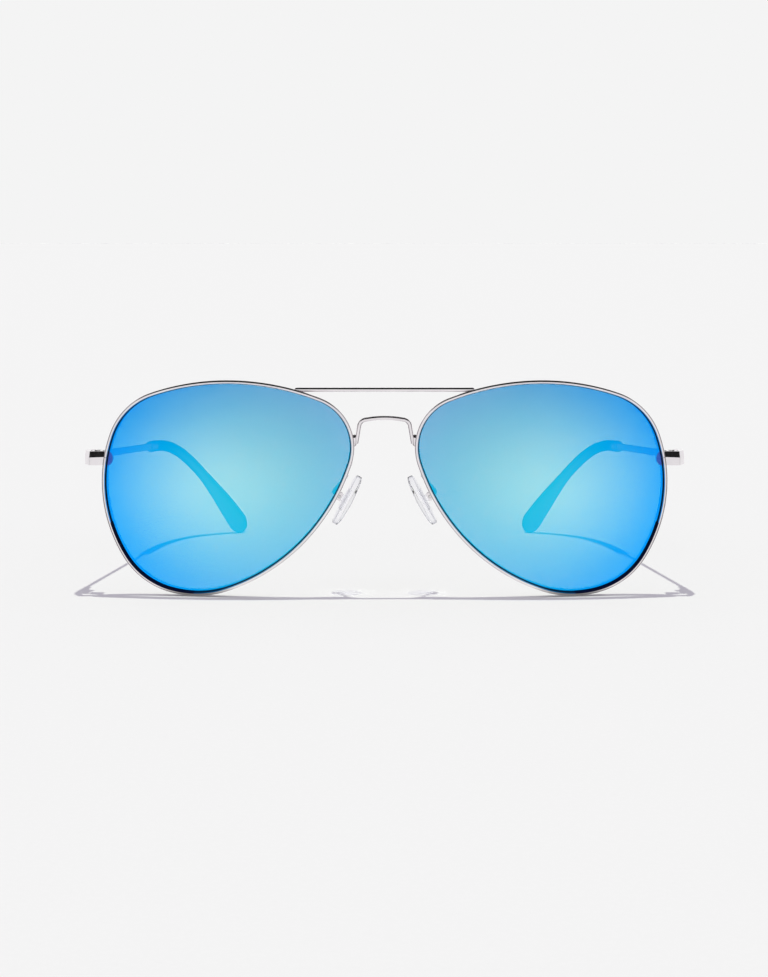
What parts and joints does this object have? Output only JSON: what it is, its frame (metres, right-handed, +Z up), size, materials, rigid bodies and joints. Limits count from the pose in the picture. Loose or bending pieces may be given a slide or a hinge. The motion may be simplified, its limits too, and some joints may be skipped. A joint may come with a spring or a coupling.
{
  "type": "aviator sunglasses",
  "caption": "Metal-rimmed aviator sunglasses with teardrop mirrored lenses, a brow bar over the bridge, clear rocking nose pads and hinged temples that fold behind the lenses.",
  "frame": {"origin": "on the table, under the middle of the open pair: the bounding box's bottom centre", "axes": "+X towards the wearer's left, +Y back along the temples, +Z up; the open glasses stand on both rims and both temple tips at z = 0"},
  "size_m": [0.141, 0.1208, 0.0516],
  "materials": {
    "frame_metal": "polished silver plating",
    "screw_steel": "bright steel",
    "mirror_lens": "blue mirror coating, paler towards the nose",
    "clear_pad": "clear soft silicone",
    "tip_plastic": "smooth black sleeve"
  },
  "bodies": {
    "front": {"rim_left": "frame_metal", "rim_right": "frame_metal", "lens_left": "mirror_lens", "lens_right": "mirror_lens", "brow_bar": "frame_metal", "bridge": "frame_metal", "pad_arm_left": "frame_metal", "pad_arm_right": "frame_metal", "pad_box_left": "frame_metal", "pad_box_right": "frame_metal", "pad_screw_left": "screw_steel", "pad_screw_right": "screw_steel", "rim_lock_upper_left": "frame_metal", "rim_lock_upper_right": "frame_metal", "rim_lock_lower_left": "frame_metal", "rim_lock_lower_right": "frame_metal", "rim_lock_screw_left": "screw_steel", "rim_lock_screw_right": "screw_steel", "end_piece_left": "frame_metal", "end_piece_right": "frame_metal", "hinge_front_left": "frame_metal", "hinge_front_right": "frame_metal", "hinge_screw_left": "screw_steel", "hinge_screw_right": "screw_steel"},
    "temple_left": {"hinge_temple_left": "frame_metal", "temple_arm_left": "frame_metal", "tip_collar_left": "frame_metal", "temple_tip_left": "tip_plastic"},
    "temple_right": {"hinge_temple_right": "frame_metal", "temple_arm_right": "frame_metal", "tip_collar_right": "frame_metal", "temple_tip_right": "tip_plastic"},
    "pad_left": {"nose_pad_left": "clear_pad", "pad_insert_left": "clear_pad"},
    "pad_right": {"nose_pad_right": "clear_pad", "pad_insert_right": "clear_pad"}
  },
  "joints": [
    {"name": "temple_fold_left", "type": "hinge", "parent": "front", "child": "temple_left", "pos_m": [0.068, -0.04628, 0.03265], "axis": [0, 0, 1], "range_deg": [0, 76]},
    {"name": "temple_fold_right", "type": "hinge", "parent": "front", "child": "temple_right", "pos_m": [-0.068, -0.04628, 0.03265], "axis": [0, 0, -1], "range_deg": [0, 72]},
    {"name": "pad_rock_left", "type": "hinge", "parent": "front", "child": "pad_left", "pos_m": [0.01079, -0.04907, 0.02346], "axis": [0.077, 0.9962, 0.0409], "range_deg": [-8, 8]},
    {"name": "pad_rock_right", "type": "hinge", "parent": "front", "child": "pad_right", "pos_m": [-0.01079, -0.04907, 0.02346], "axis": [-0.077, 0.9962, 0.0409], "range_deg": [-8, 8]}
  ]
}
